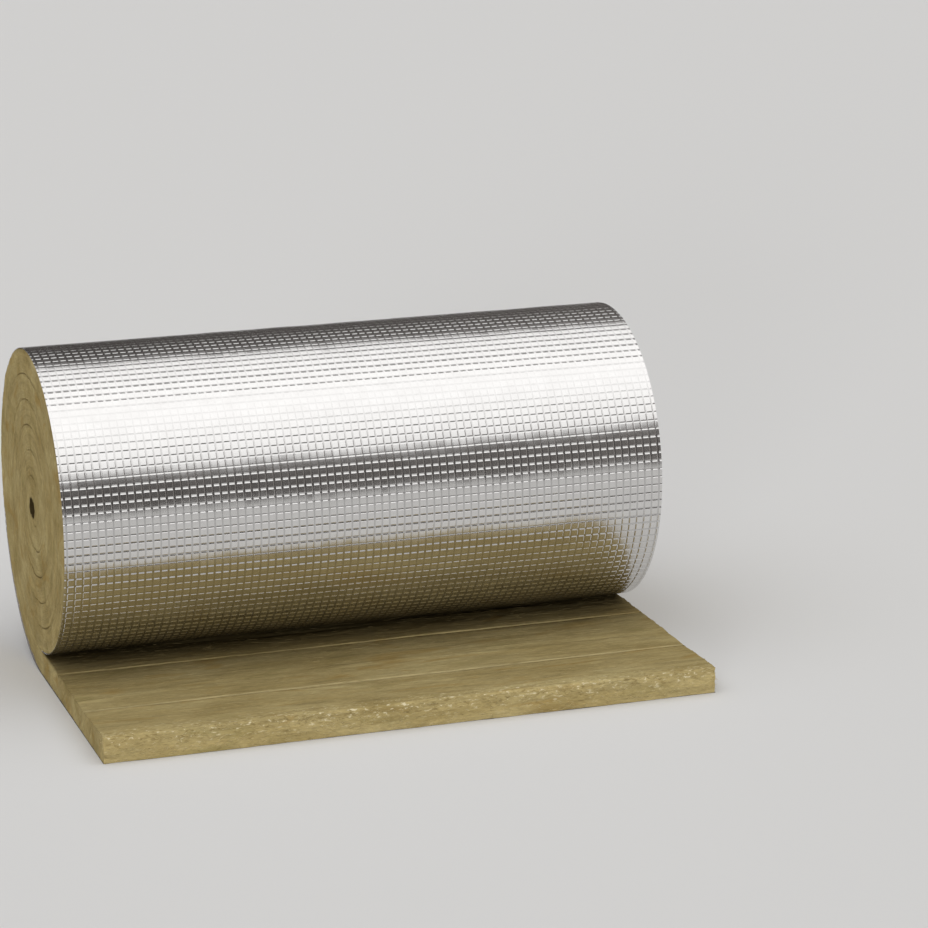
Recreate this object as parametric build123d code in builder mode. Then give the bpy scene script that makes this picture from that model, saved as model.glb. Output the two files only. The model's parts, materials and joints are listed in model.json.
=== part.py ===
"""Roll of foil-faced stone wool mat, lying on its side with its tail unrolled in front of it.

Millimetres, +Z up. +X runs along the roll, the tail points to -Y, and the origin is on the floor,
under the middle of the whole part.
"""

import os
from math import acos, cos, degrees, sin

from build123d import *

# The mat, as it is sold
mat_width = 1200.0
mat_thickness = 50.0
foil_thickness = 0.2

# How it is wound: the tail is measured from under the winding axis to the cut end
turn_count = 6
start_radius = 25.0
tail_length = 582.0

# The bore is the eye that the mat's inner end leaves open, in the back of the first half turn
bore_radius = 19.0
bore_back = 12.0
bore_rise = 8.0

# Where the last turn lifts off the tail, the wedge between them starts at this height
mouth_height = 1.5

# The line between two turns, seen on each end of the roll
seam_width = 2.0
seam_depth = 4.0

# The wool is laid in strips across the mat: the joints show as notches on top of the tail
strip_width = 240.0
end_strip_width = 161.0
joint_width = 5.0
joint_depth = 3.0
cut_overrun = 1.0

# Winding: half turns about two centres, half a thickness apart, make an even spiral
half_step = mat_thickness / 2
back_radius = start_radius + turn_count * mat_thickness
front_radius = back_radius - half_step
back_centre = (0, back_radius)
front_centre = (0, back_radius + half_step)
bore_centre = (bore_back, back_radius + bore_rise)
half_turn = 180
quarter_turn = 90
bottom_angle = -90
top_angle = 90

# The mouth, where the wedge between the last turn and the tail begins
mouth_angle = acos(1 - mouth_height / front_radius)
mouth_reach = front_radius * sin(mouth_angle)
mouth_lift = back_radius + half_step - front_radius * cos(mouth_angle)
front_sweep = half_turn - degrees(mouth_angle)
foil_end_reach = (front_radius - foil_thickness) * sin(mouth_angle)
foil_end_lift = back_radius + half_step - (front_radius - foil_thickness) * cos(mouth_angle)

# Sections are drawn across the roll: sketch x is +Y, sketch y is +Z, from the floor under the axis
axis_y = (tail_length - back_radius) / 2
left_end = Plane(origin=(-mat_width / 2, axis_y, 0), x_dir=(0, 1, 0), z_dir=(1, 0, 0))
right_end = left_end.offset(mat_width)

# Joints between strips, counted back from the cut end to where the roll covers the tail
open_tail = tail_length - mouth_reach - joint_width
joint_count = int((open_tail - end_strip_width) // strip_width) + 1
joint_places = [
    (-tail_length + end_strip_width + index * strip_width, mat_thickness)
    for index in range(joint_count)
]

# One notch, widened above the mat so that the cut runs clear of its face
notch_slope = joint_width / 2 / joint_depth
notch_half_top = joint_width / 2 + notch_slope * cut_overrun
notch_outline = [(-notch_half_top, cut_overrun), (0, -joint_depth), (notch_half_top, cut_overrun)]


with BuildPart() as wool_mat:
    # Tail, back half turn and front half turn in one outline, inside the facing
    with BuildSketch(left_end):
        with BuildLine():
            underside = Line((-tail_length, foil_thickness), (0, foil_thickness))
            CenterArc(back_centre, back_radius - foil_thickness, bottom_angle, half_turn)
            CenterArc(front_centre, front_radius - foil_thickness, top_angle, front_sweep)
            Line((-foil_end_reach, foil_end_lift), (-mouth_reach, mouth_lift))
            Line((-mouth_reach, mouth_lift), (-mouth_reach, mat_thickness))
            tail_top = Line((-mouth_reach, mat_thickness), (-tail_length, mat_thickness))
            Line(tail_top @ 1, underside @ 0)
        make_face()
        with Locations(bore_centre):
            Circle(bore_radius, mode=Mode.SUBTRACT)
    extrude(amount=mat_width)

    # The turns show on each end as one spiral line, from the mouth in to the bore
    for end, inward in ((left_end, seam_depth), (right_end, -seam_depth)):
        with BuildSketch(end):
            with BuildLine():
                CenterArc(front_centre, front_radius, bottom_angle, -degrees(mouth_angle))
                for turn in range(1, turn_count):
                    inset = turn * mat_thickness
                    CenterArc(back_centre, back_radius - inset, bottom_angle, half_turn)
                    CenterArc(front_centre, front_radius - inset, top_angle, half_turn)
                CenterArc(back_centre, start_radius, bottom_angle, quarter_turn)
            trace(line_width=seam_width)
        extrude(amount=inward, mode=Mode.SUBTRACT)

    # Notches along the joints of the strips
    with BuildSketch(left_end):
        with Locations(*joint_places):
            Polygon(*notch_outline, align=None)
    extrude(amount=mat_width, mode=Mode.SUBTRACT)

with BuildPart() as foil_facing:
    # The facing follows the underside of the tail and the outside of the last turn
    with BuildSketch(left_end):
        with BuildLine():
            outer_underside = Line((-tail_length, 0), (0, 0))
            CenterArc(back_centre, back_radius, bottom_angle, half_turn)
            CenterArc(front_centre, front_radius, top_angle, front_sweep)
            Line((-mouth_reach, mouth_lift), (-foil_end_reach, foil_end_lift))
            CenterArc(front_centre, front_radius - foil_thickness, top_angle, front_sweep)
            CenterArc(back_centre, back_radius - foil_thickness, bottom_angle, half_turn)
            inner_underside = Line((0, foil_thickness), (-tail_length, foil_thickness))
            Line(inner_underside @ 1, outer_underside @ 0)
        make_face()
    extrude(amount=mat_width)

wool_mat.part.label = "wool_mat"
foil_facing.part.label = "foil_facing"

os.makedirs("parts", exist_ok=True)
export_step(wool_mat.part, "parts/wool_mat.step")
export_step(foil_facing.part, "parts/foil_facing.step")
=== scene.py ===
"""Looks of a roll of foil-faced stone wool: quilted foil, wound wool, loose fibres, stage and camera.

Metres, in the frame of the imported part: +X along the roll, the tail towards -Y, +Z up.
"""

import json
import math
from types import SimpleNamespace

import bpy
import numpy as np
from mathutils import Matrix, Vector, noise
from mathutils.geometry import delaunay_2d_cdt


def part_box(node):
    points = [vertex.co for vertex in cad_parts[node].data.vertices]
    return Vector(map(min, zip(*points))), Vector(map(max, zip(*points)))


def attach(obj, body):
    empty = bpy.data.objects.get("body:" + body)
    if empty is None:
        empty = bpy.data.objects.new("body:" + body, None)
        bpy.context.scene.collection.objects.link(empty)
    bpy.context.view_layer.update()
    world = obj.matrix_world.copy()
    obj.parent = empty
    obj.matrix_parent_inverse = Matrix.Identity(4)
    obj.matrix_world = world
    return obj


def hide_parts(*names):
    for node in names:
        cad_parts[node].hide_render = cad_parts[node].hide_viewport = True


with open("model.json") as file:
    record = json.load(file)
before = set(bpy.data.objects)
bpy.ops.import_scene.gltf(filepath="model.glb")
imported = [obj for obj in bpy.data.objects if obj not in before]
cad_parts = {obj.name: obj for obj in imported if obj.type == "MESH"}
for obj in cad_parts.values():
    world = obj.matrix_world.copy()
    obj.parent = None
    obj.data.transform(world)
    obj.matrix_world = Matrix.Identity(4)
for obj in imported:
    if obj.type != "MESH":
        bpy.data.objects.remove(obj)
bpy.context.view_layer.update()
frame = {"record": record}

# Thickness of the mat
THICKNESS = 0.050

# The roll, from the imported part
low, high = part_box("foil_facing")
bore = next(mount for mount in frame["record"]["mounts"] if mount["name"] == "bore")
BORE_Y, BORE_Z = bore["pos_m"][1:]
BORE_RADIUS = bore["dims"]["r_mm"] / 1000
BACK_RADIUS = high.z / 2
TURNS = int(BACK_RADIUS // THICKNESS)
AXIS_Y = high.y - BACK_RADIUS
FRONT_RADIUS = BACK_RADIUS - THICKNESS / 2
BACK_Z = BACK_RADIUS
FRONT_Z = BACK_RADIUS + THICKNESS / 2
HALF_WIDTH = high.x
TAIL_END_Y = low.y
TAIL = AXIS_Y - TAIL_END_Y
BACK_LENGTH = math.pi * BACK_RADIUS

# The wedge between the tail and the last turn is closed up to this far in front of the winding axis
MOUTH_REACH = 0.024
MOUTH_ANGLE = math.asin(MOUTH_REACH / FRONT_RADIUS)
FRONT_LENGTH = (math.pi - MOUTH_ANGLE) * FRONT_RADIUS

# Quilted foil: raised pads between creases. Around is measured around the roll, along is measured along it
CELL_AROUND = 0.016
CELL_ALONG = 0.01504
FIRST_CREASE_AROUND = 0.010
FIRST_CREASE_ALONG = 0.0054
CREASE_DEPTH_AROUND = 0.0009
CREASE_DEPTH_ALONG = 0.0007

# Widths of the creases' walls. Those that face up narrow between two angles down from the crest
CREASE_WALL_DOWN = 0.0017
CREASE_WALLS_UP = (0.0056, 0.0028)
CREASE_WALLS_UP_ANGLES = (math.radians(32), math.radians(45))
CREASE_WALL_SIDE = 0.0023

# Lean of the walls: full at the pad, a share of it at the foot, and a share of it where two creases cross
WALL_SLOPE_DOWN = math.tan(math.radians(15))
FOOT_DOWN_SHARE = 0.7
FOOT_SIDE_SHARE = 0.2
CROSSING_SHARE = 0.2

# Walls that face up lean unevenly. Rows: degrees down from the crest, lean at the pad, lean at the foot
WALLS_UP = np.array([
    (16, 12, 9), (34, 28, 24), (44, 22, 12), (60, 29, 19), (84, 34, 12), (100, 32, 9), (112, 18, 8),
    (120, 30, 17), (135, 43, 27), (150, 52, 38),
])
# Walls of the creases around the roll. Rows: degrees down from the crest, lean at the pad
WALLS_SIDE = np.array([(25, 4), (42, 10), (58, 18), (70, 22), (84, 20), (95, 17)])
# Painted shade in the creases. Rows: degrees down from the crest, painted shade of the creases along the
# roll, painted shade of those around it
CREASE_PAINTED_SHADE = np.array([
    (25, 1.0, 0.4), (36, 0.6, 0.2), (46, 0.2, 0.2), (58, 0.6, 0.5), (82, 1.0, 1.0), (98, 1.0, 1.0),
    (110, 0.8, 0.8), (120, 0.5, 0.4),
])

# Foil: thickness, waves and unevenness
FOIL_THICKNESS = 0.00025
FOIL_BACK_INSET = 0.0020
FOIL_RIM = 0.012
FOIL_FLAT_BY_FLOOR = 0.06
UNDERSIDE_STEP = 0.048
PAD_TILT = 0.006
PAD_LIFT = 0.00005
PAD_SEED = 5
WAVE_COUNT = 14
WAVE_HEIGHT = 0.00006
WAVE_LENGTHS = (0.08, 0.30)
WAVE_SEED = 3

# Wool: the section lies inside the foil by these insets, and its mesh has these steps and tolerances
WOOL_INSET = 0.0018
WOOL_FLOOR_INSET = 0.0003
WOOL_STEP = 0.005
WOOL_COARSE_STEP = 0.010
CUT_STEP = 0.004
BORE_POINTS = 40
BORE_COLUMNS = 25
# Shade painted on the bore's wall, so that it is dark like a deep hole
BORE_PAINTED_SHADE = -1.0
CORNER_RADIUS = 0.0025
POINT_SEED = 11
POINT_JITTER_SHARE = 0.25
POINT_CLEAR_SHARE = 0.7
MERGE_DISTANCE = 1e-7
EDGE_SLACK = 1e-6
SHARP_ANGLE = math.radians(50)

# Seams between the turns, on the two ends. They open most at the top and the bottom of the roll
SEAM_HALF = 0.0018
SEAM_DEPTH = 0.0030
SEAM_CLEAR = 0.0034
# Shade painted into the seams, most where they are open
SEAM_PAINTED_SHADE = 0.45
SEAM_LEAST_SHARE = 0.2
SEAM_POWER = 8

# Shade painted deep in the wedge under the roll: the wool there is painted darker, as the wedge's shadow
WEDGE_PAINTED_SHADE = 0.8
WEDGE_PAINTED_SHADE_REACH = 0.300

# Relief of the wool. Noises are given as cycles per metre on each axis, and octaves
NOISE_INCREMENT = 0.9
NOISE_LACUNARITY = 2.1
END_RELIEF = 0.0016
END_TUFTS = ((1, 28, 28), 2)
END_FINE_TUFTS = ((1, 110, 110), 2)
END_FINE_SHARE = 0.5
END_NOISE_SHIFT = 3.0
TOP_RELIEF = 0.0016
CUT_RELIEF = 0.0022
BRUSHING = ((3, 45, 45), 3)
NAP = ((30, 140, 140), 2)
TOP_NAP_SHARE = 0.4
CUT_NAP_SHARE = 0.5

# The turns stand out unevenly at the ends, in two waves of these radians for each turn
TELESCOPE = 0.0009
TELESCOPE_SLOW = 5.1
TELESCOPE_FAST = 11.3
TELESCOPE_FAST_SHARE = 0.6

# Joints between the strips of the mat, on top of the tail, with a painted highlight on the lip and painted
# shade in the groove. Rows: offset towards the roll, height, tone
STRIP = 0.240
END_STRIP = 0.161
JOINT_CLEAR = STRIP / 4
JOINT_PROFILE = [
    (0.0060, 0.0000, 0.0), (0.0016, 0.0004, 0.08), (0.0000, 0.0000, 0.5), (-0.0006, -0.0018, 0.15),
    (-0.0016, -0.0024, -0.6), (-0.0040, -0.0016, -0.3), (-0.0090, 0.0000, 0.0),
]

# Loose fibres on the wool, for each kind of face: number, half length, radius, spread of direction and tone
FIBRES = {
    "top": (1500, (0.004, 0.015), (0.00012, 0.00025), 0.35, (-0.1, 0.4)),
    "cut": (1300, (0.002, 0.007), (0.00020, 0.00050), 0.60, (-0.2, 0.9)),
    "end": (2000, (0.003, 0.009), (0.00012, 0.00028), math.pi, (-0.2, 0.4)),
}
FIBRE_SIDES = 3
FIBRE_RING_SHARES = (-0.4, 0.4)
FIBRE_LIFT = 0.0003
FIBRE_ENDS = (-0.0004, 0.0012)
FIBRE_REACH = 0.006


def make_object(name, mesh, material):
    """An object with its material, in the scene."""
    made = bpy.data.objects.new(name, mesh)
    bpy.context.scene.collection.objects.link(made)
    mesh.materials.append(material)
    return made


def zip_rows(first, second, places):
    """Triangles between two rows of vertices that run the same way but differ in number."""
    triangles = []
    i = j = 0
    while i < len(first) - 1 or j < len(second) - 1:
        at_end = j == len(second) - 1
        step_first = at_end or (
            i < len(first) - 1 and places[first[i + 1]][0] <= places[second[j + 1]][0]
        )
        if step_first:
            triangles.append((first[i], second[j], first[i + 1]))
            i += 1
        else:
            triangles.append((first[i], second[j], second[j + 1]))
            j += 1
    return triangles


# Foil

def facing_path(s):
    """Place and outward normal, each (y, z), of the facing, s metres down the front from its crest."""
    front = s / FRONT_RADIUS
    back = -s / BACK_RADIUS
    under = -s - BACK_LENGTH
    stretch = [s >= 0, under <= 0]
    y = np.select(
        stretch,
        [AXIS_Y - FRONT_RADIUS * np.sin(front), AXIS_Y + BACK_RADIUS * np.sin(back)],
        AXIS_Y - under,
    )
    z = np.select(
        stretch,
        [FRONT_Z + FRONT_RADIUS * np.cos(front), BACK_Z + BACK_RADIUS * np.cos(back)],
        0.0,
    )
    normal_y = np.select(stretch, [-np.sin(front), np.sin(back)], 0.0)
    normal_z = np.select(stretch, [np.cos(front), np.cos(back)], -1.0)
    return y, z, normal_y, normal_z


def crease_places(start, end, first, pitch, wall):
    """Places of the creases across a sheet, at least a wall from its two ends."""
    number = np.arange(math.ceil((start + wall - first) / pitch), (end - wall - first) // pitch + 1)
    return first + number * pitch


def crease_lines(start, end, creases, before, after):
    """Places of the lines of a quilted sheet: pad edge, crease, pad edge. Levels are 1 on a crease."""
    lines = np.stack([creases - before, creases, creases + after], axis=-1)
    places = np.concatenate([[start], lines.ravel(), [end]])
    levels = np.concatenate([[0], np.tile([0, 1, 0], len(creases)), [0]])
    return places, levels


def foil_grid():
    """Lines of the facing around the roll (s) and along it (x), with their crease levels."""
    widest = max(CREASE_WALLS_UP)
    creases_s = crease_places(-BACK_LENGTH, FRONT_LENGTH, FIRST_CREASE_AROUND, CELL_AROUND, widest)
    wall_up = np.interp(creases_s / FRONT_RADIUS, CREASE_WALLS_UP_ANGLES, CREASE_WALLS_UP)
    roll_s, roll_level = crease_lines(-BACK_LENGTH, FRONT_LENGTH, creases_s, CREASE_WALL_DOWN, wall_up)
    under_count = round(TAIL / UNDERSIDE_STEP)
    under_s = np.linspace(-BACK_LENGTH - TAIL, -BACK_LENGTH, under_count + 1)[:-1]
    s = np.concatenate([under_s, roll_s])
    level_s = np.concatenate([np.zeros(len(under_s)), roll_level])
    first_x = -HALF_WIDTH + FIRST_CREASE_ALONG
    creases_x = crease_places(-HALF_WIDTH, HALF_WIDTH, first_x, CELL_ALONG, CREASE_WALL_SIDE)
    x, level_x = crease_lines(-HALF_WIDTH, HALF_WIDTH, creases_x, CREASE_WALL_SIDE, CREASE_WALL_SIDE)
    all_s, all_x = np.meshgrid(s, x, indexing="ij")
    return SimpleNamespace(
        s=s, level_s=level_s, x=x, level_x=level_x, all_s=all_s, all_x=all_x,
        quilted=np.clip((s + BACK_LENGTH) / FOIL_FLAT_BY_FLOOR, 0, 1),
        degrees=np.degrees(s / FRONT_RADIUS),
    )


def foil_pads(grid):
    """Each pad's own small tilts and lift, at every point of the grid."""
    random = np.random.default_rng(PAD_SEED)
    row = np.cumsum(grid.level_s).astype(int)
    column = np.cumsum(grid.level_x).astype(int)
    count = (row[-1] + 1, column[-1] + 1)
    tilt_s = random.normal(0, PAD_TILT, count)[row][:, column]
    tilt_x = random.normal(0, PAD_TILT, count)[row][:, column]
    lift = random.normal(0, PAD_LIFT, count)[row][:, column]
    return SimpleNamespace(tilt_s=tilt_s, tilt_x=tilt_x, lift=lift)


def foil_waves(grid):
    """Slow waves in the foil: height, and slopes around and along the roll, at every point of the grid."""
    random = np.random.default_rng(WAVE_SEED)
    height = np.zeros_like(grid.all_x)
    slope_x = np.zeros_like(grid.all_x)
    slope_s = np.zeros_like(grid.all_x)
    for _ in range(WAVE_COUNT):
        turn = random.uniform(0, math.pi)
        number = 2 * math.pi / random.uniform(*WAVE_LENGTHS)
        phase = random.uniform(0, 2 * math.pi)
        kx, ks = number * math.cos(turn), number * math.sin(turn)
        angle = kx * grid.all_x + ks * grid.all_s + phase
        height += WAVE_HEIGHT * np.cos(angle)
        slope_x -= WAVE_HEIGHT * kx * np.sin(angle)
        slope_s -= WAVE_HEIGHT * ks * np.sin(angle)
    return SimpleNamespace(height=height, slope_s=slope_s, slope_x=slope_x)


def foil_heights(grid, pads, waves):
    """Height of the quilted face at every point of the grid: waves, creases and uneven pads."""
    from_s = (grid.all_s - FIRST_CREASE_AROUND) / CELL_AROUND
    from_x = (grid.all_x + HALF_WIDTH - FIRST_CREASE_ALONG) / CELL_ALONG
    in_pad_s = (from_s % 1 - 0.5) * CELL_AROUND
    in_pad_x = (from_x % 1 - 0.5) * CELL_ALONG
    on_pad = (1 - grid.level_s)[:, None] * (1 - grid.level_x)[None, :]
    crease = np.maximum(
        CREASE_DEPTH_AROUND * grid.level_s[:, None], CREASE_DEPTH_ALONG * grid.level_x[None, :]
    )
    pad = pads.lift + pads.tilt_s * in_pad_s + pads.tilt_x * in_pad_x
    height = waves.height - crease + on_pad * pad
    return height * grid.quilted[:, None]


def over_facing(x, height, path):
    """Points of a grid at their heights over the facing's path."""
    path_y, path_z, normal_y, normal_z = path
    return np.stack([
        x,
        path_y[:, None] + height * normal_y[:, None],
        path_z[:, None] + height * normal_z[:, None],
    ], axis=-1)


def foil_points(grid, height):
    """Points of the quilted face, and of the back: as thin as foil at the two rims, plain between them."""
    path = facing_path(grid.s)
    back_x = np.array([-HALF_WIDTH, -HALF_WIDTH + FOIL_RIM, HALF_WIDTH - FOIL_RIM, HALF_WIDTH])
    plain = -FOIL_THICKNESS - FOIL_BACK_INSET * grid.quilted[:, None]
    back_height = np.tile(plain, (1, len(back_x)))
    back_height[:, 0] = height[:, 0] - FOIL_THICKNESS
    back_height[:, -1] = height[:, -1] - FOIL_THICKNESS
    face = over_facing(grid.all_x, height, path)
    back = over_facing(np.tile(back_x, (len(grid.s), 1)), back_height, path)
    return face, back


def grid_quads(index):
    """Quads of a grid of vertices."""
    corners = [index[:-1, :-1], index[1:, :-1], index[1:, 1:], index[:-1, 1:]]
    return np.stack(corners, axis=-1).reshape(-1, 4)


def foil_faces(face, back, places):
    """Faces of the closed sheet, from its vertices' numbers: quads of the quilted face, and the others."""
    turned_over = [0, 3, 2, 1]
    left_rim = np.stack([face[1:, 0], face[:-1, 0], back[:-1, 0], back[1:, 0]], axis=-1)
    right_rim = np.stack([face[:-1, -1], face[1:, -1], back[1:, -1], back[:-1, -1]], axis=-1)
    tail_edge = zip_rows(list(face[0]), list(back[0]), places)
    mouth_edge = [corners[::-1] for corners in zip_rows(list(face[-1]), list(back[-1]), places)]
    others = [*grid_quads(back)[:, turned_over].tolist(), *left_rim.tolist(), *right_rim.tolist()]
    return grid_quads(face), [*others, *tail_edge, *mouth_edge]


def leans(degrees, table, column):
    """Slopes at angles down from the crest, from a table whose columns after the first are leans."""
    return np.interp(degrees, table[:, 0], np.tan(np.radians(table[:, column])))


def wall_slopes(grid, row, column):
    """Slopes of the creases' walls, around and along the roll, and whether the corner is on a pad."""
    wall_s = np.diff(grid.level_s)[:, None, None]
    wall_x = np.diff(grid.level_x)[None, :, None]
    level_s, level_x = grid.level_s[row], grid.level_x[column]
    lean_pad = leans(grid.degrees, WALLS_UP, 1)[row]
    lean_foot = leans(grid.degrees, WALLS_UP, 2)[row]
    steep_up = np.where(level_s > 0, lean_foot, lean_pad)
    steep_down = WALL_SLOPE_DOWN * np.where(level_s > 0, FOOT_DOWN_SHARE, 1)
    steep_s = np.where(wall_s > 0, steep_down, steep_up)
    steep_x = leans(grid.degrees, WALLS_SIDE, 1)[row]
    share_x = np.where(level_x > 0, FOOT_SIDE_SHARE, 1)
    clear_s = 1 - np.abs(wall_x) * level_x
    clear_x = 1 - np.abs(wall_s) * level_s
    crossing = np.where((wall_s != 0) & (wall_x != 0), CROSSING_SHARE, 1)
    slope_s = -wall_s * steep_s * clear_s * crossing
    slope_x = -wall_x * steep_x * share_x * clear_x * crossing
    on_pad = (wall_s == 0) & (wall_x == 0)
    return slope_s, slope_x, on_pad


def foil_normals(grid, pads, waves):
    """Normals at the corners of the quilted face: level on pads, leaning on the walls of the creases."""
    row = np.arange(len(grid.s) - 1)[:, None, None] + np.array([0, 1, 1, 0])
    column = np.arange(len(grid.x) - 1)[None, :, None] + np.array([0, 0, 1, 1])
    slope_s, slope_x, on_pad = wall_slopes(grid, row, column)
    slope_s = slope_s + np.where(on_pad, pads.tilt_s[row, column], 0) + waves.slope_s[row, column]
    slope_x = slope_x + np.where(on_pad, pads.tilt_x[row, column], 0) + waves.slope_x[row, column]
    quilted = grid.quilted[row]
    _, _, normal_y, normal_z = facing_path(grid.s)
    normal = np.stack([
        -slope_x * quilted,
        normal_y[row] + slope_s * quilted * normal_z[row],
        normal_z[row] - slope_s * quilted * normal_y[row],
    ], axis=-1)
    return normal / np.linalg.norm(normal, axis=-1, keepdims=True)


def painted_crease_shade(grid):
    """How much shade is painted on the quilted face at every point of the grid: only in its creases."""
    painted_shade_s = np.interp(grid.degrees, CREASE_PAINTED_SHADE[:, 0], CREASE_PAINTED_SHADE[:, 1])
    painted_shade_x = np.interp(grid.degrees, CREASE_PAINTED_SHADE[:, 0], CREASE_PAINTED_SHADE[:, 2])
    crease_shading = np.maximum((painted_shade_s * grid.level_s)[:, None], painted_shade_x[:, None] * grid.level_x[None, :])
    return crease_shading * grid.quilted[:, None]


def foil_mesh():
    """The facing as a thin closed sheet, its creases in the mesh and its normals set to round them."""
    grid = foil_grid()
    pads = foil_pads(grid)
    waves = foil_waves(grid)
    face, back = foil_points(grid, foil_heights(grid, pads, waves))
    places = np.concatenate([face.reshape(-1, 3), back.reshape(-1, 3)])
    face_count = grid.all_s.size
    face_index = np.arange(face_count).reshape(face.shape[:2])
    back_index = np.arange(face_count, len(places)).reshape(back.shape[:2])
    quads, others = foil_faces(face_index, back_index, places)
    mesh = bpy.data.meshes.new("foil_facing_quilted")
    mesh.from_pydata(places.tolist(), [], [*quads.tolist(), *others])
    mesh.shade_smooth()

    normals = np.zeros((len(mesh.loops), 3))
    mesh.corner_normals.foreach_get("vector", normals.ravel())
    normals[: quads.size] = foil_normals(grid, pads, waves).reshape(-1, 3)
    mesh.normals_split_custom_set(normals.tolist())
    # Shade painted into the creases, kept in the attribute crease
    painted_shade = np.zeros(len(places))
    painted_shade[:face_count] = painted_crease_shade(grid).ravel()
    mesh.attributes.new("crease", "FLOAT", "POINT").data.foreach_set("value", painted_shade)
    return mesh


# Wool

def wool_noise(places, scales, octaves):
    """Smooth noise at each place, scaled on each axis."""
    return np.array([
        noise.fractal(Vector(place), NOISE_INCREMENT, NOISE_LACUNARITY, octaves)
        for place in np.asarray(places) * scales
    ])


def winding(y, z):
    """Where a point of an end lies: turns in from the outside, turns along the mat, angle from the bottom."""
    dy = y - AXIS_Y
    behind = dy >= 0
    radius = np.where(behind, np.hypot(dy, z - BACK_Z), np.hypot(dy, z - FRONT_Z))
    inward = np.where(behind, BACK_RADIUS - radius, FRONT_RADIUS - radius) / THICKNESS
    angle = np.where(
        behind, np.arctan2(dy, BACK_Z - z), 2 * math.pi - np.arctan2(-dy, FRONT_Z - z)
    )
    along = np.floor(inward) + angle / (2 * math.pi)
    on_tail = ~behind & (z < THICKNESS) & (inward < 0)
    along = np.where(on_tail, dy / (2 * math.pi * BACK_RADIUS), along)
    return inward, along, angle


def end_grain(places):
    """Coordinates on an end that follow the mat: length along it, depth in it, and which end."""
    inward, along, _ = winding(places[:, 1], places[:, 2])
    length = 2 * math.pi * along * (BACK_RADIUS - THICKNESS * along / 2)
    depth = (inward - np.floor(inward)) * THICKNESS
    return np.stack([length, depth, np.sign(places[:, 0])], axis=-1)


def seam_gap(y, z):
    """Distance from the line between two turns."""
    inward, _, angle = winding(y, z)
    nearest = np.round(inward)
    gap = np.abs(inward - nearest) * THICKNESS
    at_mouth = (nearest == 0) & (angle > 2 * math.pi - MOUTH_ANGLE)
    between_turns = (nearest >= 1) & (nearest < TURNS)
    into_bore = (nearest == TURNS) & (angle < math.pi / 2)
    return np.where(at_mouth | between_turns | into_bore, gap, THICKNESS)


def in_seam(y, z):
    """How deep in a seam a point of an end lies: 0 beside it, 1 on its line."""
    return np.clip(1 - seam_gap(y, z) / SEAM_HALF, 0, 1)


def seam_opening(angle):
    """How open a seam is: most at the top and the bottom, where the roll's weight shears the turns."""
    return SEAM_LEAST_SHARE + (1 - SEAM_LEAST_SHARE) * np.cos(angle) ** SEAM_POWER


def end_relief(y, z, side):
    """How far a point of a cut end stands out: uneven turns, tufts, and the seams between turns."""
    _, along, angle = winding(y, z)
    slow = np.sin(TELESCOPE_SLOW * along + side)
    fast = np.sin(TELESCOPE_FAST * along + 2 * side)
    uneven = TELESCOPE * (slow + TELESCOPE_FAST_SHARE * fast)
    places = np.stack([np.full_like(y, END_NOISE_SHIFT * side), y, z], axis=-1)
    fine_tufts = wool_noise(places, *END_FINE_TUFTS)
    tufts = END_RELIEF * (wool_noise(places, *END_TUFTS) + END_FINE_SHARE * fine_tufts)
    seam = SEAM_DEPTH * seam_opening(angle) * in_seam(y, z)
    return uneven + tufts - seam - TELESCOPE


def arc(centre_z, radius, start, end, step):
    """Points of an arc about the winding axis. Angles run from the floor, up the back and over the top."""
    count = max(2, round(abs(end - start) * radius / step))
    angles = np.linspace(start, end, count + 1)
    return [(AXIS_Y + radius * math.sin(a), centre_z - radius * math.cos(a)) for a in angles]


def painted_wedge_shade(y):
    """Tone of the top of the tail: shade painted darker the deeper it lies in the wedge under the roll."""
    return -WEDGE_PAINTED_SHADE * np.clip(1 - (AXIS_Y - MOUTH_REACH - y) / WEDGE_PAINTED_SHADE_REACH, 0, 1)


def tail_rows():
    """Places, heights and tones across the top of the tail, from mouth to cut end, with its joints. The tones
    carry painted shade in the wedge and at the joints, and painted highlights on the joints.
    """
    count = round((TAIL - MOUTH_REACH - CORNER_RADIUS) / WOOL_STEP)
    places = np.linspace(AXIS_Y - MOUTH_REACH, TAIL_END_Y + CORNER_RADIUS, count + 1)
    rows = [(y, 0.0, painted_wedge_shade(y)) for y in places]
    near, far = JOINT_PROFILE[-1][0], JOINT_PROFILE[0][0]
    joint_y = TAIL_END_Y + END_STRIP
    while joint_y < AXIS_Y - MOUTH_REACH - JOINT_CLEAR:
        rows = [row for row in rows if not joint_y + near < row[0] < joint_y + far]
        # Joint tones are painted highlight and shade, added to the wedge's painted shade
        for offset, lift, tone in JOINT_PROFILE:
            rows.append((joint_y + offset, lift, tone + painted_wedge_shade(joint_y + offset)))
        joint_y += STRIP
    return sorted(rows, reverse=True)


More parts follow.
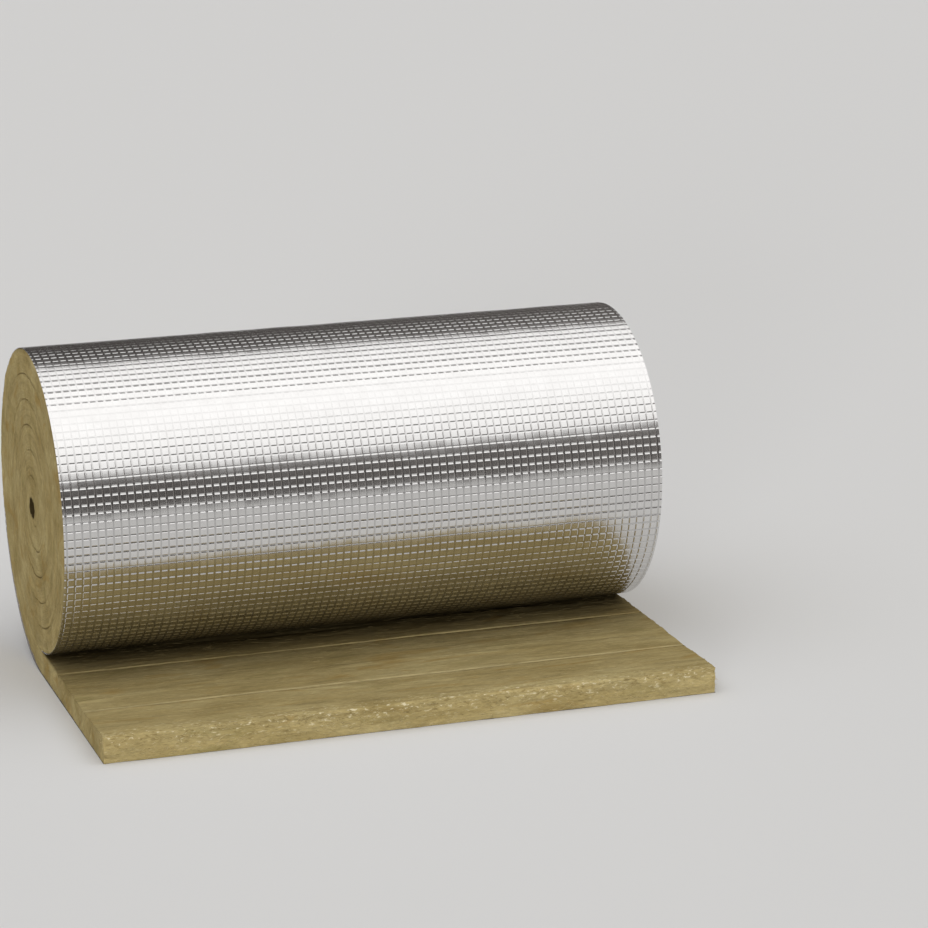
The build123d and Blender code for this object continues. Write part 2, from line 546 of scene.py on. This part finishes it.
def wool_outline():
    """The wool's section as a loop of (y, z, tone, kind). Kinds top and cut show, the rest is under foil."""
    loop = []
    under_count = round(TAIL / WOOL_COARSE_STEP)
    for y in np.linspace(TAIL_END_Y, AXIS_Y, under_count + 1)[1:-1]:
        loop.append((y, WOOL_FLOOR_INSET, 0.0, "hidden"))
    for y, z in arc(BACK_Z, BACK_RADIUS - WOOL_INSET, 0, math.pi, WOOL_COARSE_STEP):
        loop.append((y, z, 0.0, "hidden"))
    front_end = 2 * math.pi - MOUTH_ANGLE
    for y, z in arc(FRONT_Z, FRONT_RADIUS - WOOL_INSET, math.pi, front_end, WOOL_COARSE_STEP)[1:]:
        loop.append((y, z, 0.0, "hidden"))
    for y, lift, tone in tail_rows():
        loop.append((y, THICKNESS + lift, tone, "top"))
    cut_count = round((THICKNESS - CORNER_RADIUS - WOOL_FLOOR_INSET) / CUT_STEP)
    for z in np.linspace(THICKNESS - CORNER_RADIUS, WOOL_FLOOR_INSET, cut_count + 1):
        loop.append((TAIL_END_Y, z, 0.0, "cut"))
    return loop


def bore_outline():
    """The bore's edge as a loop of (y, z)."""
    angles = np.linspace(0, 2 * math.pi, BORE_POINTS + 1)[:-1]
    return [(BORE_Y + BORE_RADIUS * math.sin(a), BORE_Z - BORE_RADIUS * math.cos(a)) for a in angles]


def seam_points():
    """Points along the seams of an end, in three lines: one side, the bottom of the seam, the other side."""
    mouth_start = 2 * math.pi - MOUTH_ANGLE
    points = []
    for offset in (-SEAM_HALF, 0.0, SEAM_HALF):
        for turn in range(1, TURNS):
            inset = turn * THICKNESS + offset
            points += arc(BACK_Z, BACK_RADIUS - inset, 0, math.pi, WOOL_STEP)
            points += arc(FRONT_Z, FRONT_RADIUS - inset, math.pi, 2 * math.pi, WOOL_STEP)[1:-1]
        start_radius = BACK_RADIUS - TURNS * THICKNESS - offset
        points += arc(BACK_Z, start_radius, 0, math.pi / 2, WOOL_STEP)
        points += arc(FRONT_Z, FRONT_RADIUS - offset, mouth_start, 2 * math.pi, WOOL_STEP)[1:-1]
    bore_gap = [math.hypot(y - BORE_Y, z - BORE_Z) - BORE_RADIUS for y, z in points]
    return [point for point, gap in zip(points, bore_gap) if gap > SEAM_CLEAR]


def inside_section(y, z, margin):
    """Whether a point lies in the wool's section, at least a margin from its edges."""
    inset = WOOL_INSET + margin
    in_back = (y >= AXIS_Y) & (np.hypot(y - AXIS_Y, z - BACK_Z) < BACK_RADIUS - inset)
    in_front = (y < AXIS_Y) & (np.hypot(y - AXIS_Y, z - FRONT_Z) < FRONT_RADIUS - inset)
    off_floor = z > WOOL_FLOOR_INSET + margin
    in_tail = (y < AXIS_Y) & (y > TAIL_END_Y + margin) & off_floor & (z < THICKNESS - margin)
    near_mouth = (y < AXIS_Y) & (y > AXIS_Y - MOUTH_REACH + margin) & off_floor & (z < FRONT_Z)
    out_of_bore = np.hypot(y - BORE_Y, z - BORE_Z) > BORE_RADIUS + margin
    return (in_back | in_front | in_tail | near_mouth) & out_of_bore


def inner_points():
    """Points spread over an end, clear of its outline, its bore and its seams."""
    random = np.random.default_rng(POINT_SEED)
    rise = WOOL_STEP * math.sqrt(3) / 2
    ys = np.arange(TAIL_END_Y, AXIS_Y + BACK_RADIUS, WOOL_STEP)
    zs = np.arange(0, high.z, rise)
    y, z = np.meshgrid(ys, zs)
    y = (y + (np.arange(len(zs)) % 2 * WOOL_STEP / 2)[:, None]).ravel()
    z = z.ravel()
    y = y + random.uniform(-POINT_JITTER_SHARE, POINT_JITTER_SHARE, y.size) * WOOL_STEP
    z = z + random.uniform(-POINT_JITTER_SHARE, POINT_JITTER_SHARE, z.size) * WOOL_STEP
    keep = inside_section(y, z, POINT_CLEAR_SHARE * WOOL_STEP) & (seam_gap(y, z) > SEAM_CLEAR)
    return list(zip(y[keep], z[keep]))


def loop_edges(start, count):
    """Pairs of neighbours around a loop of numbers."""
    return [(start + i, start + (i + 1) % count) for i in range(count)]


def end_triangles(outline, bore_loop):
    """Triangles of one end of the wool, and the points added inside it."""
    added = seam_points() + inner_points()
    points = [(y, z) for y, z, _, _ in outline] + bore_loop + added
    edges = loop_edges(0, len(outline)) + loop_edges(len(outline), len(bore_loop))
    result = delaunay_2d_cdt([Vector(point) for point in points], edges, [], 0, MERGE_DISTANCE)
    places, _, faces, sources = result[:4]
    number = [source[0] for source in sources]
    triangles = []
    for face in faces:
        centre = sum((places[i] for i in face), Vector((0, 0))) / len(face)
        if inside_section(np.array([centre.x]), np.array([centre.y]), -EDGE_SLACK)[0]:
            triangles.append([number[i] for i in face])
    return triangles, added


def wool_rows(outline, bore_loop, added):
    """Vertices before relief, a row along the roll for each point of the section, with kinds and tones."""
    fine_x = np.linspace(-HALF_WIDTH, HALF_WIDTH, round(2 * HALF_WIDTH / WOOL_STEP) + 1)
    bore_x = np.linspace(-HALF_WIDTH, HALF_WIDTH, BORE_COLUMNS)
    end_x = np.array([-HALF_WIDTH, HALF_WIDTH])
    spread = {"hidden": end_x, "top": fine_x, "cut": fine_x, "bore": bore_x, "end": end_x}
    # The bore's wall carries painted shade
    bore_points = [(y, z, BORE_PAINTED_SHADE, "bore") for y, z in bore_loop]
    end_points = [(y, z, 0.0, "end") for y, z in added]
    rows, places, kinds, tones = [], [], [], []
    for y, z, tone, kind in outline + bore_points + end_points:
        rows.append(range(len(places), len(places) + len(spread[kind])))
        places += [(x, y, z) for x in spread[kind]]
        kinds += [kind] * len(spread[kind])
        tones += [tone] * len(spread[kind])
    return rows, np.array(places), np.array(kinds), np.array(tones)


def wool_faces(rows, places, outline_count, bore_count, triangles):
    """Triangles along the outline and the bore, and then those of the two ends."""
    sides = []
    for first, second in loop_edges(0, outline_count):
        sides += [corners[::-1] for corners in zip_rows(rows[first], rows[second], places)]
    for first, second in loop_edges(outline_count, bore_count):
        sides += zip_rows(rows[first], rows[second], places)
    ends = []
    for a, b, c in triangles:
        ends.append((rows[a][0], rows[c][0], rows[b][0]))
        ends.append((rows[a][-1], rows[b][-1], rows[c][-1]))
    return sides, ends


def wool_relief(flat, kinds):
    """Vertices with relief: the top and the cut end are brushed along the roll, the two ends are tufted."""
    shaped = flat.copy()
    brushing = wool_noise(flat, *BRUSHING)
    nap = wool_noise(flat, *NAP)
    top, cut = kinds == "top", kinds == "cut"
    shaped[top, 2] += TOP_RELIEF * (brushing + TOP_NAP_SHARE * nap)[top]
    shaped[cut, 1] -= CUT_RELIEF * (brushing + CUT_NAP_SHARE * nap)[cut]
    for side in (-1, 1):
        end = np.abs(flat[:, 0] - side * HALF_WIDTH) < EDGE_SLACK
        shaped[end, 0] += side * end_relief(flat[end, 1], flat[end, 2], side)
    return shaped


def painted_seam_shade(flat):
    """How much shade is painted into the seams on the two ends."""
    at_end = np.abs(np.abs(flat[:, 0]) - HALF_WIDTH) < EDGE_SLACK
    _, _, angle = winding(flat[:, 1], flat[:, 2])
    shade = in_seam(flat[:, 1], flat[:, 2]) * at_end
    return SEAM_PAINTED_SHADE * shade * seam_opening(angle)


def fibre_directions(kind, side, turn):
    """Directions of fibres on one kind of face: outward from the face, and along the fibre."""
    zero = np.zeros(len(turn))
    if kind == "top":
        outward = (zero, zero, zero + 1)
        along = (np.cos(turn), np.sin(turn), zero)
    elif kind == "cut":
        outward = (zero, zero - 1, zero)
        along = (np.cos(turn), zero, np.sin(turn))
    else:
        outward = (side, zero, zero)
        along = (zero, np.cos(turn), np.sin(turn))
    return np.stack(outward, axis=-1), np.stack(along, axis=-1)


def fibre_triangles(count):
    """Triangles of spindles: a tip, two rings of vertices and the other tip each."""
    last = 1 + 2 * FIBRE_SIDES
    pattern = []
    for corner in range(FIBRE_SIDES):
        a, b = 1 + corner, 1 + (corner + 1) % FIBRE_SIDES
        far_a, far_b = a + FIBRE_SIDES, b + FIBRE_SIDES
        pattern += [(0, b, a), (a, b, far_b), (a, far_b, far_a), (last, far_a, far_b)]
    triangles = np.array(pattern)[None] + (last + 1) * np.arange(count)[:, None, None]
    return triangles.reshape(-1, 3)


def fibres(kind, places, place_tones):
    """Loose fibres that lie on faces of one kind, as thin spindles: vertices, triangles and tones."""
    random = np.random.default_rng(len(kind) + len(places))
    count, half_lengths, radii, spread, tones = FIBRES[kind]
    picked = random.integers(0, len(places), count)
    turn = random.uniform(-spread, spread, count)
    half = random.uniform(*half_lengths, count)[:, None]
    radius = random.uniform(*radii, count)[:, None]
    lifts = random.uniform(*FIBRE_ENDS, (2, count, 1))
    # Fibres take on the painted shade of the place they lie on, besides their own tones
    fibre_tones = random.uniform(*tones, count) + np.minimum(place_tones[picked], 0)

    outward, along = fibre_directions(kind, np.sign(places[picked, 0]), turn)
    across = np.cross(along, outward)
    middle = places[picked] + FIBRE_LIFT * outward
    first = middle - half * along + lifts[0] * outward
    last = middle + half * along + lifts[1] * outward
    rings = []
    for share in FIBRE_RING_SHARES:
        for corner in range(FIBRE_SIDES):
            angle = corner * 2 * math.pi / FIBRE_SIDES
            rim = math.cos(angle) * outward + math.sin(angle) * across
            rings.append(middle + share * half * along + radius * rim)
    vertices = np.stack([first, *rings, last], axis=1)

    above_floor = vertices[:, :, 2].min(axis=1) > 0
    in_reach = np.abs(vertices[:, :, 0]).max(axis=1) < HALF_WIDTH + FIBRE_REACH
    kept = above_floor & in_reach
    kept_tones = np.repeat(fibre_tones[kept], vertices.shape[1])
    return vertices[kept].reshape(-1, 3), fibre_triangles(kept.sum()), kept_tones


def wool_mesh():
    """The mat as one closed mesh with its bore, and the loose fibres on it."""
    outline = wool_outline()
    bore_loop = bore_outline()
    triangles, added = end_triangles(outline, bore_loop)
    rows, flat, kinds, flat_tones = wool_rows(outline, bore_loop, added)
    sides, ends = wool_faces(rows, flat, len(outline), len(bore_loop), triangles)
    solid = wool_relief(flat, kinds)
    # The seams on the ends carry painted shade
    solid_tones = flat_tones - painted_seam_shade(flat)
    places, tones, faces = solid, solid_tones, sides + ends
    for kind in FIBRES:
        of_kind = kinds == kind
        fibre_places, fibre_faces, fibre_tones = fibres(kind, solid[of_kind], solid_tones[of_kind])
        faces += (fibre_faces + len(places)).tolist()
        places = np.concatenate([places, fibre_places])
        tones = np.concatenate([tones, fibre_tones])

    mesh = bpy.data.meshes.new("wool_mat_fibrous")
    mesh.from_pydata(places.tolist(), [], faces)
    mesh.shade_smooth()
    mesh.set_sharp_from_angle(angle=SHARP_ANGLE)
    # The tone attribute holds painted shade and highlights as well as the fibres' own tones
    mesh.attributes.new("tone", "FLOAT", "POINT").data.foreach_set("value", tones)

    # The grain runs along the roll on the top and the cut end, and along the winding on the ends
    corners = np.array(faces)
    grain = places[corners]
    on_end = slice(len(sides), len(sides) + len(ends))
    grain[on_end] = end_grain(flat)[corners[on_end]]
    mesh.attributes.new("grain", "FLOAT_VECTOR", "CORNER").data.foreach_set("vector", grain.ravel())
    return mesh


# Materials

# Noises: factor along the roll (under 1 draws it out), scale, detail, roughness, distortion.
# Ramps: stops of (place, shade or colour)
WOOL_BLOTCHES = (0.35, 13, 5, 0.6, 0.5)
WOOL_BLOTCH_COLOURS = [
    (0.28, (0.275, 0.210, 0.084)), (0.5, (0.352, 0.278, 0.124)), (0.72, (0.425, 0.348, 0.168)),
]
WOOL_STREAKS = (0.10, 80, 5, 0.6, 0.5)
WOOL_STREAK_SHADES = [(0.26, 0.74), (0.46, 0.96), (0.70, 1.14)]
WOOL_FIBRES = (0.18, 420, 4, 0.65, 0.6)
WOOL_FIBRE_SHADES = [(0.30, 0.80), (0.70, 1.16)]
WOOL_ROUGHNESS = 0.95
WOOL_SPECULAR = 0.05
WOOL_BUMP_STREAK_SHARE = 0.6
WOOL_BUMP_STRENGTH = 0.6
WOOL_BUMP_HEIGHT = 0.0015

# Brown spots of binder and olive patches in the wool
SPOTS = (0.3, 17, 3, 0.5, 1.2)
BINDER_MASK = [(0.57, 0), (0.70, 0.6)]
BINDER_COLOUR = (0.30, 0.20, 0.062)
OLIVE_MASK = [(0.26, 0.45), (0.40, 0)]
OLIVE_COLOUR = (0.235, 0.195, 0.072)

# Near the cut end the wool is lighter, partly as paler fresh wool and partly as painted light on the cut
# face, with pale flecks and dark pits, most towards its upper edge
CUT_REACH = (0.008, 0.050)
CUT_PAINTED_LIGHT = [(0.0, 1.0), (1.0, 1.16)]
CUT_EDGE_SHARES = (0.3, 0.8)
CUT_EDGE_LEAST_SHARE = 0.15
FLECKS = (0.45, 215, 2, 0.5, 0.5)
PALE_FLECK_MASK = [(0.61, 0), (0.68, 0.8)]
PALE_FLECK_COLOUR = (0.76, 0.68, 0.46)
PIT_MASK = [(0.34, 0.6), (0.42, 0)]
PIT_COLOUR = (0.20, 0.145, 0.055)

# Ends of the wool's range of tones: pale fibres and painted highlights, dark fibres and painted shade
PALE_FIBRE_AND_HIGHLIGHT_COLOUR = (0.66, 0.56, 0.32)
DARK_FIBRE_AND_SHADE_COLOUR = (0.050, 0.036, 0.015)

# Foil: faint clouds of tint and roughness, painted shade in the creases, and fine crinkles
FOIL_CLOUDS = (1, 35, 4, 0.6, 0.0)
FOIL_TINTS = [(0.3, (0.735, 0.725, 0.715)), (0.7, (0.785, 0.777, 0.768))]
FOIL_PAINTED_CREASE_SHADES = [(0.1, 1.0), (0.5, 0.82), (1.0, 0.70)]
FOIL_ROUGHNESS = (0.14, 0.23)
FOIL_CRINKLES = (1, 260, 3, 0.6, 0.8)
FOIL_BUMP_STRENGTH = 0.06
FOIL_BUMP_HEIGHT = 0.0006

FLOOR_COLOUR = (0.74, 0.74, 0.735)

# Numbers of the colour sockets of a mix node: its two inputs and its output
MIX_FIRST = 6
MIX_SECOND = 7
MIX_RESULT = 2


def new_material(name):
    """A material with its node tree and its main shader."""
    material = bpy.data.materials.new(name)
    material.use_nodes = True
    tree = material.node_tree
    return material, tree, tree.nodes["Principled BSDF"]


def put(tree, socket, value):
    """Gives an input its value: a number, a colour or the output of another node."""
    if isinstance(value, bpy.types.NodeSocket):
        tree.links.new(value, socket)
    elif isinstance(value, tuple):
        socket.default_value = (*value, 1)
    else:
        socket.default_value = value


def add_node(tree, kind, **settings):
    """A node with its properties and plain inputs set. Inputs are given as in_NAME, with _ for a space."""
    made = tree.nodes.new(kind)
    for name, value in settings.items():
        if name.startswith("in_"):
            made.inputs[name.removeprefix("in_").replace("_", " ")].default_value = value
        else:
            setattr(made, name, value)
    return made


def attribute(tree, name):
    """The node of a mesh attribute."""
    return add_node(tree, "ShaderNodeAttribute", attribute_name=name)


def noise_node(tree, place, recipe):
    """A noise over places. Its first number draws it out along the roll where it is under 1."""
    along, scale, detail, roughness, distortion = recipe
    drawn_out = add_node(tree, "ShaderNodeVectorMath", operation="MULTIPLY")
    tree.links.new(place, drawn_out.inputs[0])
    drawn_out.inputs[1].default_value = (along, 1, 1)
    made = add_node(
        tree, "ShaderNodeTexNoise", in_Scale=scale, in_Detail=detail,
        in_Roughness=roughness, in_Distortion=distortion,
    )
    tree.links.new(drawn_out.outputs[0], made.inputs["Vector"])
    return made.outputs["Fac"]


def ramp(tree, value, stops):
    """A colour ramp over a value. A stop's shade stands for a grey."""
    made = add_node(tree, "ShaderNodeValToRGB")
    elements = made.color_ramp.elements
    while len(elements) < len(stops):
        elements.new(0.5)
    for element, (place, colour) in zip(elements, stops):
        element.position = place
        element.color = (*colour, 1) if isinstance(colour, tuple) else (colour, colour, colour, 1)
    tree.links.new(value, made.inputs["Fac"])
    return made.outputs["Color"]


def mix(tree, kind, factor, first, second):
    """Mixes two colours. Each input is a number, a colour or an output."""
    made = add_node(tree, "ShaderNodeMix", data_type="RGBA", blend_type=kind)
    put(tree, made.inputs["Factor"], factor)
    put(tree, made.inputs[MIX_FIRST], first)
    put(tree, made.inputs[MIX_SECOND], second)
    return made.outputs[MIX_RESULT]


def multiply(tree, first, second, **settings):
    """The product of two values, each a number or an output."""
    made = add_node(tree, "ShaderNodeMath", operation="MULTIPLY", **settings)
    put(tree, made.inputs[0], first)
    put(tree, made.inputs[1], second)
    return made.outputs[0]


def map_range(tree, value, start, end, **settings):
    """A value mapped from one range to another, which is 0 to 1 unless it is set."""
    made = add_node(tree, "ShaderNodeMapRange", **settings)
    made.inputs["From Min"].default_value = start
    made.inputs["From Max"].default_value = end
    tree.links.new(value, made.inputs["Value"])
    return made.outputs[0]


def bump(tree, shader, height, strength, distance):
    """Bumps on a shader's surface, from a height."""
    made = add_node(tree, "ShaderNodeBump", in_Strength=strength, in_Distance=distance)
    tree.links.new(height, made.inputs["Height"])
    tree.links.new(made.outputs["Normal"], shader.inputs["Normal"])


def cut_end_colour(tree, place, colour):
    """The wool's colour, lighter by the cut end partly as paler fresh wool and partly as painted light, with
    pale flecks and dark pits from the cut.
    """
    flecks = noise_node(tree, place, FLECKS)
    split = add_node(tree, "ShaderNodeSeparateXYZ")
    tree.links.new(place, split.inputs[0])
    near, far = [TAIL_END_Y + reach for reach in CUT_REACH]
    near_cut = map_range(tree, split.outputs["Y"], near, far, in_To_Min=1.0, in_To_Max=0.0)
    # Lightening near the cut end, partly painted light on the cut face
    colour = mix(tree, "MULTIPLY", 1.0, colour, ramp(tree, near_cut, CUT_PAINTED_LIGHT))
    lower, upper = [share * THICKNESS for share in CUT_EDGE_SHARES]
    near_edge = map_range(
        tree, split.outputs["Z"], lower, upper, in_To_Min=CUT_EDGE_LEAST_SHARE, in_To_Max=1.0
    )
    by_cut_edge = multiply(tree, near_cut, near_edge)
    for mask, fleck_colour in ((PALE_FLECK_MASK, PALE_FLECK_COLOUR), (PIT_MASK, PIT_COLOUR)):
        shown = multiply(tree, ramp(tree, flecks, mask), by_cut_edge)
        colour = mix(tree, "MIX", shown, colour, fleck_colour)
    return colour


def toned_colour(tree, colour):
    """The wool's colour with its tones: painted shade in the seams, the wedge, the bore and the joints'
    grooves, painted highlights on the joints, and pale and dark fibres.
    """
    tone = attribute(tree, "tone").outputs["Fac"]
    pale = add_node(tree, "ShaderNodeClamp")
    tree.links.new(tone, pale.inputs["Value"])
    colour = mix(tree, "MIX", pale.outputs[0], colour, PALE_FIBRE_AND_HIGHLIGHT_COLOUR)
    dark = multiply(tree, tone, -1.0, use_clamp=True)
    return mix(tree, "MIX", dark, colour, DARK_FIBRE_AND_SHADE_COLOUR)


def wool_material():
    """Stone wool: olive brown, blotched and streaked along the roll, with pale flecks at the cut end."""
    material, tree, shader = new_material("stone_wool")
    place = add_node(tree, "ShaderNodeTexCoord").outputs["Object"]
    grain = attribute(tree, "grain").outputs["Vector"]
    streaks = noise_node(tree, grain, WOOL_STREAKS)
    fibre = noise_node(tree, grain, WOOL_FIBRES)
    colour = ramp(tree, noise_node(tree, place, WOOL_BLOTCHES), WOOL_BLOTCH_COLOURS)
    colour = mix(tree, "MULTIPLY", 1.0, colour, ramp(tree, streaks, WOOL_STREAK_SHADES))
    colour = mix(tree, "MULTIPLY", 1.0, colour, ramp(tree, fibre, WOOL_FIBRE_SHADES))
    spots = noise_node(tree, place, SPOTS)
    colour = mix(tree, "MIX", ramp(tree, spots, BINDER_MASK), colour, BINDER_COLOUR)
    colour = mix(tree, "MIX", ramp(tree, spots, OLIVE_MASK), colour, OLIVE_COLOUR)
    colour = cut_end_colour(tree, place, colour)
    colour = toned_colour(tree, colour)
    tree.links.new(colour, shader.inputs["Base Color"])
    shader.inputs["Roughness"].default_value = WOOL_ROUGHNESS
    shader.inputs["Specular IOR Level"].default_value = WOOL_SPECULAR

    height = add_node(tree, "ShaderNodeMath", operation="MULTIPLY_ADD")
    put(tree, height.inputs[0], streaks)
    put(tree, height.inputs[1], WOOL_BUMP_STREAK_SHARE)
    put(tree, height.inputs[2], fibre)
    bump(tree, shader, height.outputs[0], WOOL_BUMP_STRENGTH, WOOL_BUMP_HEIGHT)
    return material


def foil_material():
    """Bright aluminium foil with fine crinkles, darker in its creases by painted shade."""
    material, tree, shader = new_material("aluminium_foil")
    place = add_node(tree, "ShaderNodeTexCoord").outputs["Object"]
    shader.inputs["Metallic"].default_value = 1.0
    clouds = noise_node(tree, place, FOIL_CLOUDS)
    tint = ramp(tree, clouds, FOIL_TINTS)
    # Painted shade darkens the foil's colour in its creases
    crease_shading = ramp(tree, attribute(tree, "crease").outputs["Fac"], FOIL_PAINTED_CREASE_SHADES)
    tree.links.new(mix(tree, "MULTIPLY", 1.0, tint, crease_shading), shader.inputs["Base Color"])
    smooth, rough = FOIL_ROUGHNESS
    roughness = map_range(tree, clouds, 0, 1, in_To_Min=smooth, in_To_Max=rough)
    tree.links.new(roughness, shader.inputs["Roughness"])
    crinkles = noise_node(tree, place, FOIL_CRINKLES)
    bump(tree, shader, crinkles, FOIL_BUMP_STRENGTH, FOIL_BUMP_HEIGHT)
    return material


def floor_material():
    """A pale matt floor."""
    material, _, shader = new_material("pale_floor")
    shader.inputs["Base Color"].default_value = (*FLOOR_COLOUR, 1)
    shader.inputs["Roughness"].default_value = 1.0
    shader.inputs["Specular IOR Level"].default_value = 0.0
    return material


# Stage

FLOOR_HALF = 60.0
FLOOR_DROP = 0.0004

# A wide soft light overhead, which leans to the front. It is even near its middle, dims outward and ends
# between two angles
DOME_RADIANCE = 1.30
DOME_EDGE_RADIANCE = 1.08
DOME_COLOUR = (1.0, 0.995, 0.99)
DOME_EVEN = math.radians(18)
DOME_LEAN = math.radians(11)
DOME_EDGES = (math.radians(55), math.radians(49))

# Walls around it are dim in front and behind, and lighter at the sides
BELT_RADIANCE = 0.03
SIDE_RADIANCE = 0.32
WALL_COLOUR = (1.0, 0.92, 0.87)

# A soft lamp from the front left
LAMP_AZIMUTH = math.radians(-30)
LAMP_ELEVATION = math.radians(4)
LAMP_SPREAD = math.radians(14)
LAMP_STRENGTH = 1.4

# Camera, as fitted to the outline of the roll in the photograph
CAMERA_PLACE = (-1.7727, -6.1835, 2.0269)
CAMERA_AZIMUTH = math.radians(-18.0675)
CAMERA_ELEVATION = math.radians(14.2211)
CAMERA_ROLL = math.radians(-0.7279)
LENS_MM = 130.86
SENSOR_MM = 36.0
VIEW_REACH = 4 * FLOOR_HALF


def make_floor():
    """A wide level floor just under the part."""
    mesh = bpy.data.meshes.new("floor")
    signs = [(-1, -1), (1, -1), (1, 1), (-1, 1)]
    corners = [(x * FLOOR_HALF, y * FLOOR_HALF, -FLOOR_DROP) for x, y in signs]
    mesh.from_pydata(corners, [], [(0, 1, 2, 3)])
    make_object("floor", mesh, floor_material())


def make_walls(tree, direction):
    """Dim light from the walls, lighter towards the two ends of the roll."""
    split = add_node(tree, "ShaderNodeSeparateXYZ")
    tree.links.new(direction, split.inputs[0])
    sideways = add_node(tree, "ShaderNodeMath", operation="ABSOLUTE")
    tree.links.new(split.outputs["X"], sideways.inputs[0])
    walls = tree.nodes["Background"]
    put(tree, walls.inputs["Color"], WALL_COLOUR)
    level = map_range(tree, sideways.outputs[0], 0, 1, in_To_Min=BELT_RADIANCE, in_To_Max=SIDE_RADIANCE)
    tree.links.new(level, walls.inputs["Strength"])
    return walls.outputs[0]


def make_dome(tree, direction):
    """The light overhead, and how far each direction lies in it: 0 outside, 1 inside."""
    towards = add_node(tree, "ShaderNodeVectorMath", operation="DOT_PRODUCT")
    tree.links.new(direction, towards.inputs[0])
    towards.inputs[1].default_value = (0, -math.sin(DOME_LEAN), math.cos(DOME_LEAN))
    cosine = towards.outputs["Value"]
    outer, inner = [math.cos(edge) for edge in DOME_EDGES]
    dome = add_node(tree, "ShaderNodeBackground")
    put(tree, dome.inputs["Color"], DOME_COLOUR)
    level = map_range(
        tree, cosine, outer, math.cos(DOME_EVEN), in_To_Min=DOME_EDGE_RADIANCE, in_To_Max=DOME_RADIANCE
    )
    tree.links.new(level, dome.inputs["Strength"])
    inside = map_range(tree, cosine, outer, inner, interpolation_type="SMOOTHSTEP")
    return dome.outputs[0], inside


def make_lamp():
    """A soft lamp that isn't mirrored in the foil."""
    lamp = bpy.data.lights.new("lamp", "SUN")
    lamp.energy = LAMP_STRENGTH
    lamp.angle = LAMP_SPREAD
    held = bpy.data.objects.new("lamp", lamp)
    bpy.context.scene.collection.objects.link(held)
    held.rotation_euler = (math.pi / 2 - LAMP_ELEVATION, 0, LAMP_AZIMUTH)
    held.visible_glossy = False


def make_light():
    """A wide soft light overhead, dim walls around it, and one soft lamp from the front left."""
    world = bpy.data.worlds.new("studio")
    bpy.context.scene.world = world
    world.use_nodes = True
    tree = world.node_tree
    direction = add_node(tree, "ShaderNodeTexCoord").outputs["Generated"]
    walls = make_walls(tree, direction)
    dome, inside = make_dome(tree, direction)
    both = add_node(tree, "ShaderNodeMixShader")
    for socket, value in zip(both.inputs, (inside, walls, dome)):
        tree.links.new(value, socket)
    tree.links.new(both.outputs[0], tree.nodes["World Output"].inputs["Surface"])
    make_lamp()


def make_camera():
    """The photograph's view: back points from the scene to the camera, and the camera leans a little."""
    azimuth, elevation, lean = CAMERA_AZIMUTH, CAMERA_ELEVATION, CAMERA_ROLL
    back = Vector((
        math.sin(azimuth) * math.cos(elevation),
        -math.cos(azimuth) * math.cos(elevation),
        math.sin(elevation),
    ))
    level = Vector((math.cos(azimuth), math.sin(azimuth), 0))
    rise = back.cross(level)
    right = math.cos(lean) * level + math.sin(lean) * rise
    up = math.cos(lean) * rise - math.sin(lean) * level
    data = bpy.data.cameras.new("camera")
    data.sensor_width = SENSOR_MM
    data.lens = LENS_MM
    data.clip_end = VIEW_REACH
    camera = bpy.data.objects.new("camera", data)
    bpy.context.scene.collection.objects.link(camera)
    turned = Matrix((right, up, back)).transposed().to_4x4()
    camera.matrix_world = Matrix.Translation(CAMERA_PLACE) @ turned
    bpy.context.scene.camera = camera


foil = make_object("foil_facing_quilted", foil_mesh(), foil_material())
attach(foil, "root")
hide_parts("foil_facing")

wool = make_object("wool_mat_fibrous", wool_mesh(), wool_material())
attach(wool, "root")
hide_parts("wool_mat")

make_floor()
make_light()
make_camera()
bpy.context.scene.view_settings.view_transform = "Standard"
